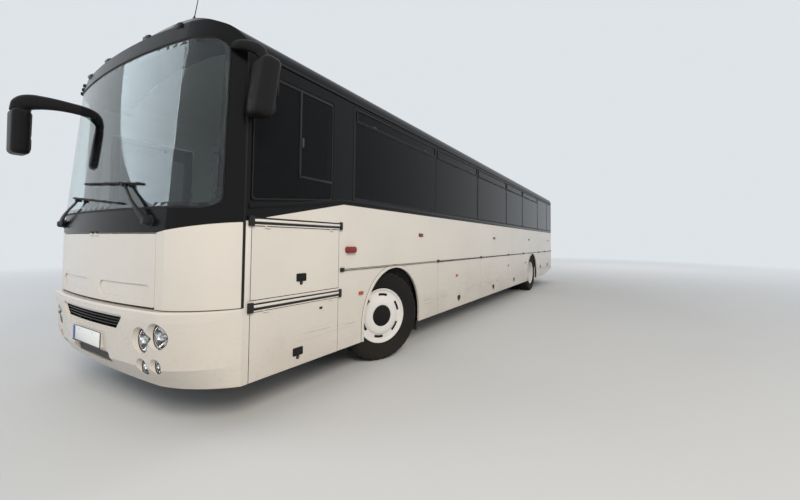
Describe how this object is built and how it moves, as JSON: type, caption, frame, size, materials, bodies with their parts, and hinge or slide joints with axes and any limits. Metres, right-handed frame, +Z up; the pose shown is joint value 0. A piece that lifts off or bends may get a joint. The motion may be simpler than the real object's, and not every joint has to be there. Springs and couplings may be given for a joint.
{
  "type": "coach bus",
  "caption": "Two-axle coach bus with steered front wheels, rear twin wheels, two swinging passenger doors, hinged side flaps, mirrors and seats.",
  "frame": {"origin": "on the ground under the middle of the coach's bounding box", "axes": "+X towards the coach's left side, -Y is the front, +Z up"},
  "size_m": [2.945, 13.0261, 3.3902],
  "materials": {
    "axle_front": "dull paint",
    "axle_rear": "dull paint",
    "bumper_front": "gloss paint",
    "bumper_rear": "gloss paint",
    "chassis": "dull paint",
    "dashboard": "grained",
    "deck": "floor covering",
    "door_front": "gloss paint",
    "door_front_arms": "dull paint",
    "door_front_glass": "tinted",
    "door_middle": "gloss paint",
    "door_middle_arms": "dull paint",
    "door_middle_glass": "tinted",
    "driver_seat": "woven",
    "engine": "oily",
    "engine_lid": "gloss paint",
    "flap_bay_left_front": "gloss paint",
    "flap_bay_left_middle": "gloss paint",
    "flap_bay_left_rear": "gloss paint",
    "flap_bay_right_front": "gloss paint",
    "flap_bay_right_middle": "gloss paint",
    "flap_driver_lower": "gloss paint",
    "flap_driver_upper": "gloss paint",
    "flap_engine_left_front": "gloss paint",
    "flap_engine_left_rear": "gloss paint",
    "flap_radiator": "gloss paint",
    "front_lid": "gloss paint",
    "front_mask": "gloss paint",
    "glass_left": "tinted",
    "glass_right": "tinted",
    "knuckle_left": "dull",
    "knuckle_right": "dull",
    "lamps_front": "clear lens",
    "lamps_rear": "lens",
    "luggage_bay": "dull paint",
    "mirrors": "gloss",
    "platform": "floor covering",
    "racks": "matte",
    "rear_wall": "gloss paint",
    "rear_window": "tinted",
    "rim_front_left": "gloss paint",
    "rim_front_right": "gloss paint",
    "rims_rear_left": "gloss paint",
    "rims_rear_right": "gloss paint",
    "roof": "gloss paint",
    "roof_fittings": "matte",
    "seat_bench": "woven",
    "seats_left": "woven",
    "seats_right": "woven",
    "side_left": "gloss paint",
    "side_right": "gloss paint",
    "stairs": "dull paint",
    "steering_wheel": "grained",
    "tyre_front_left": "rubber",
    "tyre_front_right": "rubber",
    "tyres_rear_left": "rubber",
    "tyres_rear_right": "rubber",
    "wheel_boxes": "dull paint",
    "windscreen": "clear",
    "wipers": "matte"
  },
  "bodies": {
    "coach": {"axle_front": "axle_front", "axle_rear": "axle_rear", "bumper_front": "bumper_front", "bumper_rear": "bumper_rear", "chassis": "chassis", "dashboard": "dashboard", "deck": "deck", "driver_seat": "driver_seat", "engine": "engine", "front_mask": "front_mask", "glass_left": "glass_left", "glass_right": "glass_right", "lamps_front": "lamps_front", "lamps_rear": "lamps_rear", "luggage_bay": "luggage_bay", "mirrors": "mirrors", "platform": "platform", "racks": "racks", "rear_wall": "rear_wall", "rear_window": "rear_window", "roof": "roof", "roof_fittings": "roof_fittings", "seat_bench": "seat_bench", "seats_left": "seats_left", "seats_right": "seats_right", "side_left": "side_left", "side_right": "side_right", "stairs": "stairs", "wheel_boxes": "wheel_boxes", "windscreen": "windscreen", "wipers": "wipers"},
    "flap_driver_upper": {"flap_driver_upper": "flap_driver_upper"},
    "flap_driver_lower": {"flap_driver_lower": "flap_driver_lower"},
    "flap_bay_left_front": {"flap_bay_left_front": "flap_bay_left_front"},
    "flap_bay_left_middle": {"flap_bay_left_middle": "flap_bay_left_middle"},
    "flap_bay_left_rear": {"flap_bay_left_rear": "flap_bay_left_rear"},
    "flap_engine_left_front": {"flap_engine_left_front": "flap_engine_left_front"},
    "flap_engine_left_rear": {"flap_engine_left_rear": "flap_engine_left_rear"},
    "flap_bay_right_front": {"flap_bay_right_front": "flap_bay_right_front"},
    "flap_bay_right_middle": {"flap_bay_right_middle": "flap_bay_right_middle"},
    "flap_radiator": {"flap_radiator": "flap_radiator"},
    "front_lid": {"front_lid": "front_lid"},
    "engine_lid": {"engine_lid": "engine_lid"},
    "knuckle_left": {"knuckle_left": "knuckle_left"},
    "wheel_front_left": {"tyre_front_left": "tyre_front_left", "rim_front_left": "rim_front_left"},
    "wheels_rear_left": {"tyres_rear_left": "tyres_rear_left", "rims_rear_left": "rims_rear_left"},
    "knuckle_right": {"knuckle_right": "knuckle_right"},
    "wheel_front_right": {"tyre_front_right": "tyre_front_right", "rim_front_right": "rim_front_right"},
    "wheels_rear_right": {"tyres_rear_right": "tyres_rear_right", "rims_rear_right": "rims_rear_right"},
    "steering_wheel": {"steering_wheel": "steering_wheel"},
    "door_front_arms": {"door_front_arms": "door_front_arms"},
    "door_front": {"door_front": "door_front", "door_front_glass": "door_front_glass"},
    "door_middle_arms": {"door_middle_arms": "door_middle_arms"},
    "door_middle": {"door_middle": "door_middle", "door_middle_glass": "door_middle_glass"}
  },
  "joints": [
    {"name": "flap_driver_upper_hinge", "type": "hinge", "parent": "coach", "child": "flap_driver_upper", "pos_m": [1.28, -5.2875, 1.437], "axis": [0, -1, 0], "range_deg": [0, 95]},
    {"name": "flap_driver_lower_hinge", "type": "hinge", "parent": "coach", "child": "flap_driver_lower", "pos_m": [1.28, -5.2875, 0.81], "axis": [0, -1, 0], "range_deg": [0, 95]},
    {"name": "flap_bay_left_front_hinge", "type": "hinge", "parent": "coach", "child": "flap_bay_left_front", "pos_m": [1.28, -1.8075, 1.046], "axis": [0, -1, 0], "range_deg": [0, 95]},
    {"name": "flap_bay_left_middle_hinge", "type": "hinge", "parent": "coach", "child": "flap_bay_left_middle", "pos_m": [1.28, 0, 1.046], "axis": [0, -1, 0], "range_deg": [0, 95]},
    {"name": "flap_bay_left_rear_hinge", "type": "hinge", "parent": "coach", "child": "flap_bay_left_rear", "pos_m": [1.28, 1.625, 1.046], "axis": [0, -1, 0], "range_deg": [0, 95]},
    {"name": "flap_engine_left_front_hinge", "type": "hinge", "parent": "coach", "child": "flap_engine_left_front", "pos_m": [1.28, 4.6875, 1.046], "axis": [0, -1, 0], "range_deg": [0, 95]},
    {"name": "flap_engine_left_rear_hinge", "type": "hinge", "parent": "coach", "child": "flap_engine_left_rear", "pos_m": [1.28, 5.7175, 1.046], "axis": [0, -1, 0], "range_deg": [0, 95]},
    {"name": "flap_bay_right_front_hinge", "type": "hinge", "parent": "coach", "child": "flap_bay_right_front", "pos_m": [-1.28, -1.8075, 1.046], "axis": [0, 1, 0], "range_deg": [0, 95]},
    {"name": "flap_bay_right_middle_hinge", "type": "hinge", "parent": "coach", "child": "flap_bay_right_middle", "pos_m": [-1.28, 0, 1.046], "axis": [0, 1, 0], "range_deg": [0, 95]},
    {"name": "flap_radiator_hinge", "type": "hinge", "parent": "coach", "child": "flap_radiator", "pos_m": [-1.28, 4.6875, 1.046], "axis": [0, 1, 0], "range_deg": [0, 95]},
    {"name": "front_lid_hinge", "type": "hinge", "parent": "coach", "child": "front_lid", "pos_m": [0, -6.2575, 1.372], "axis": [-1, 0, 0], "range_deg": [0, 90]},
    {"name": "engine_lid_hinge", "type": "hinge", "parent": "coach", "child": "engine_lid", "pos_m": [0, 6.51162, 1.627], "axis": [1, 0, 0], "range_deg": [0, 90]},
    {"name": "steer_left", "type": "hinge", "parent": "coach", "child": "knuckle_left", "pos_m": [0.93, -3.8775, 0.5], "axis": [0, 0, 1], "range_deg": [-22.6, 67.4]},
    {"name": "spin_front_left", "type": "hinge", "parent": "knuckle_left", "child": "wheel_front_left", "pos_m": [0.93, -3.8775, 0.5], "axis": [0.9245, -0.3811, 0], "continuous": true},
    {"name": "spin_rear_left", "type": "hinge", "parent": "coach", "child": "wheels_rear_left", "pos_m": [0.9, 3.3925, 0.5], "axis": [1, 0, 0], "continuous": true},
    {"name": "steer_right", "type": "hinge", "parent": "coach", "child": "knuckle_right", "pos_m": [-0.93, -3.8775, 0.5], "axis": [0, 0, 1], "range_deg": [-22.6, 67.4]},
    {"name": "spin_front_right", "type": "hinge", "parent": "knuckle_right", "child": "wheel_front_right", "pos_m": [-0.93, -3.8775, 0.5], "axis": [0.9245, -0.3811, 0], "continuous": true},
    {"name": "spin_rear_right", "type": "hinge", "parent": "coach", "child": "wheels_rear_right", "pos_m": [-0.9, 3.3925, 0.5], "axis": [1, 0, 0], "continuous": true},
    {"name": "steering_wheel_turn", "type": "hinge", "parent": "coach", "child": "steering_wheel", "pos_m": [0.7, -5.4875, 1.64], "axis": [0, 0.669, 0.7433], "range_deg": [-406.8, 1213.2]},
    {"name": "door_front_swing", "type": "hinge", "parent": "coach", "child": "door_front_arms", "pos_m": [-1.165, -5.6985, 0.56], "axis": [0, 0, 1], "range_deg": [0, 125]},
    {"name": "door_front_level", "type": "hinge", "parent": "door_front_arms", "child": "door_front", "pos_m": [-1.165, -5.2185, 0.56], "axis": [0, 0, 1], "range_deg": [-125, 0]},
    {"name": "door_middle_swing", "type": "hinge", "parent": "coach", "child": "door_middle_arms", "pos_m": [-1.165, 2.1085, 0.56], "axis": [0, 0, -1], "range_deg": [0, 125]},
    {"name": "door_middle_level", "type": "hinge", "parent": "door_middle_arms", "child": "door_middle", "pos_m": [-1.165, 1.6285, 0.56], "axis": [0, 0, -1], "range_deg": [-125, 0]}
  ],
  "couplings": [
    {"joint": "steer_right", "follows": "steer_left", "ratio": 1},
    {"joint": "steering_wheel_turn", "follows": "steer_left", "ratio": 18},
    {"joint": "door_front_level", "follows": "door_front_swing", "ratio": -1},
    {"joint": "door_middle_level", "follows": "door_middle_swing", "ratio": -1}
  ]
}
